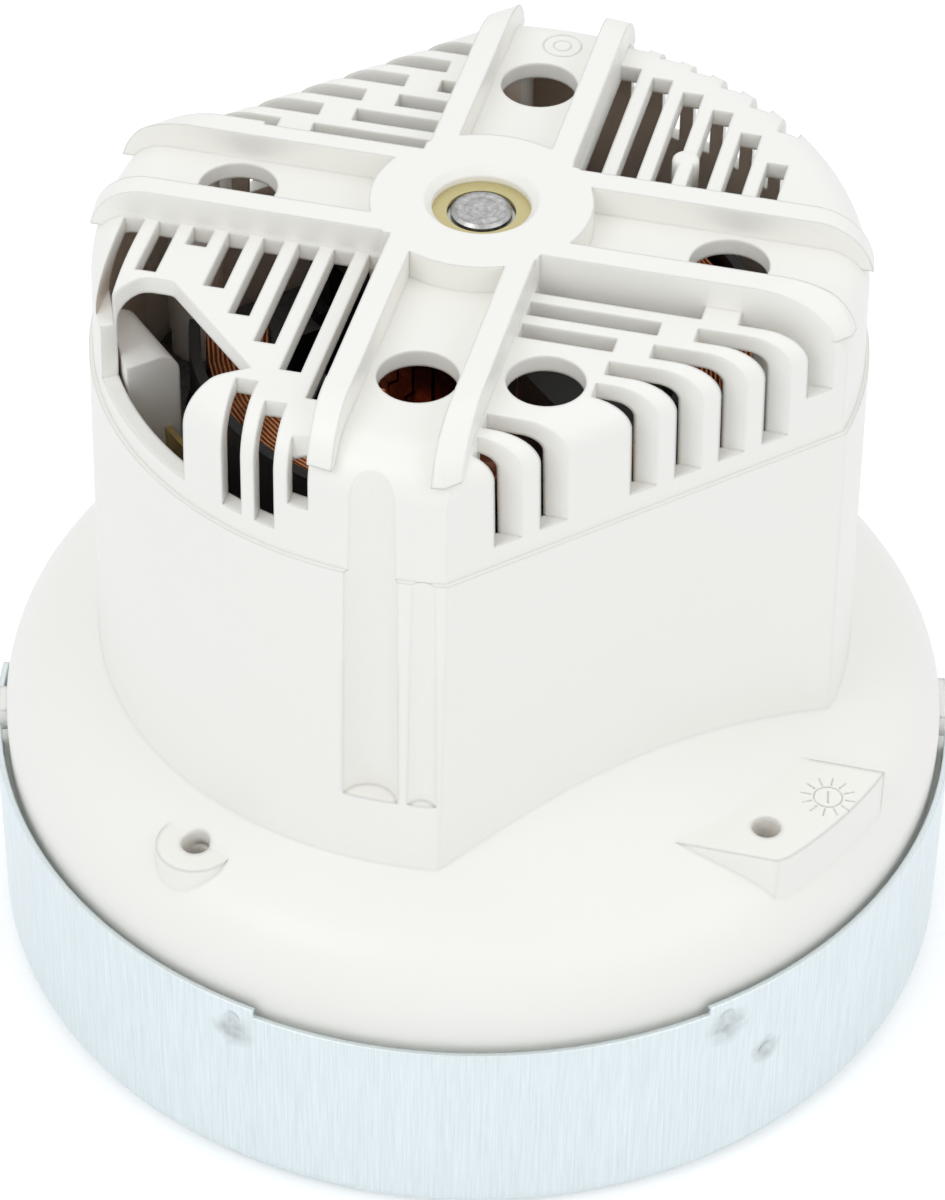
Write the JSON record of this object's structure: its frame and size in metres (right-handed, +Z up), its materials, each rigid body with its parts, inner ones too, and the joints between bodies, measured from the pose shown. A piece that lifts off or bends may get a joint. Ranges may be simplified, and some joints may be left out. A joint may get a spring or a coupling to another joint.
{
  "type": "vacuum cleaner motor unit",
  "caption": "Vacuum motor with slotted white plastic housing, cross arms round a shaft bearing, terminal window, sloping flange and round steel fan cover.",
  "frame": {"origin": "middle of the flat bottom of the steel fan cover", "axes": "+Z up the shaft, +X along the arm of the top that points right in the picture, -Y towards the arm that points at the viewer"},
  "size_m": [0.135, 0.135, 0.1188],
  "materials": {
    "white_plastic": "fine matt moulding, warm ivory white",
    "cover_steel": "galvanised sheet with fine upright brushing",
    "grey_plastic": "matt moulding",
    "cast_aluminium": "as cast",
    "screw_steel": "zinc plated",
    "gold_ring": "straw coloured, satin",
    "damper_rubber": "matt",
    "bearing_steel": "ground",
    "core_steel": "stacked sheets, dark",
    "black_plastic": "matt moulding",
    "copper_wire": "enamelled copper wire",
    "commutator_copper": "turned copper",
    "brass_sheet": "rolled",
    "spring_steel": "drawn wire",
    "carbon": "pressed carbon",
    "shaft_steel": "ground",
    "sheet_aluminium": "rolled"
  },
  "bodies": {
    "motor_body": {"motor_housing": "white_plastic", "fan_cover": "cover_steel", "diffuser": "grey_plastic", "bearing_bridge": "cast_aluminium", "bridge_screws": "screw_steel", "bearing_cap": "gold_ring", "upper_bearing_damper": "damper_rubber", "upper_outer_ring": "bearing_steel", "lower_outer_ring": "bearing_steel", "stator_core": "core_steel", "stator_bolts": "screw_steel", "coil_former_front": "black_plastic", "coil_former_rear": "black_plastic", "field_coil_front": "copper_wire", "field_coil_rear": "copper_wire", "brush_holder_left": "black_plastic", "brush_holder_right": "black_plastic", "brush_tube_left": "brass_sheet", "brush_tube_right": "brass_sheet", "brush_cap_left": "brass_sheet", "brush_cap_right": "brass_sheet", "brush_spring_left": "spring_steel", "brush_spring_right": "spring_steel", "terminal_block": "white_plastic", "terminal_blades": "brass_sheet"},
    "rotor": {"shaft": "shaft_steel", "rotor_core": "core_steel", "armature_winding": "copper_wire", "upper_end_disc": "black_plastic", "lower_end_disc": "black_plastic", "shaft_sleeve": "black_plastic", "commutator_hub": "black_plastic", "commutator_bars": "commutator_copper", "upper_inner_ring": "bearing_steel", "lower_inner_ring": "bearing_steel", "impeller_back": "sheet_aluminium", "impeller_front": "sheet_aluminium", "impeller_vanes": "sheet_aluminium", "impeller_spacer": "shaft_steel", "impeller_washer": "screw_steel", "impeller_nut": "screw_steel"},
    "upper_ball_set": {"upper_balls": "bearing_steel", "upper_cage": "black_plastic"},
    "lower_ball_set": {"lower_balls": "bearing_steel", "lower_cage": "black_plastic"},
    "left_brush": {"brush_left": "carbon"},
    "right_brush": {"brush_right": "carbon"}
  },
  "joints": [
    {"name": "rotor_spin", "type": "hinge", "parent": "motor_body", "child": "rotor", "pos_m": [0, 0, 0.0706], "axis": [0, 0, 1], "continuous": true},
    {"name": "upper_balls_roll", "type": "hinge", "parent": "motor_body", "child": "upper_ball_set", "pos_m": [0, 0, 0.1127], "axis": [0, 0, 1], "continuous": true},
    {"name": "lower_balls_roll", "type": "hinge", "parent": "motor_body", "child": "lower_ball_set", "pos_m": [0, 0, 0.034], "axis": [0, 0, 1], "continuous": true},
    {"name": "left_brush_slide", "type": "slide", "parent": "motor_body", "child": "left_brush", "axis": [-0.7071, 0.7071, 0], "range_m": [0, 0.004], "stiffness_N_per_m": 300, "springref_m": -0.008, "deforming": ["brush_spring_left"]},
    {"name": "right_brush_slide", "type": "slide", "parent": "motor_body", "child": "right_brush", "axis": [0.7071, -0.7071, 0], "range_m": [0, 0.004], "stiffness_N_per_m": 300, "springref_m": -0.008, "deforming": ["brush_spring_right"]}
  ],
  "couplings": [
    {"joint": "upper_balls_roll", "follows": "rotor_spin", "ratio": 0.3685},
    {"joint": "lower_balls_roll", "follows": "rotor_spin", "ratio": 0.3685}
  ]
}
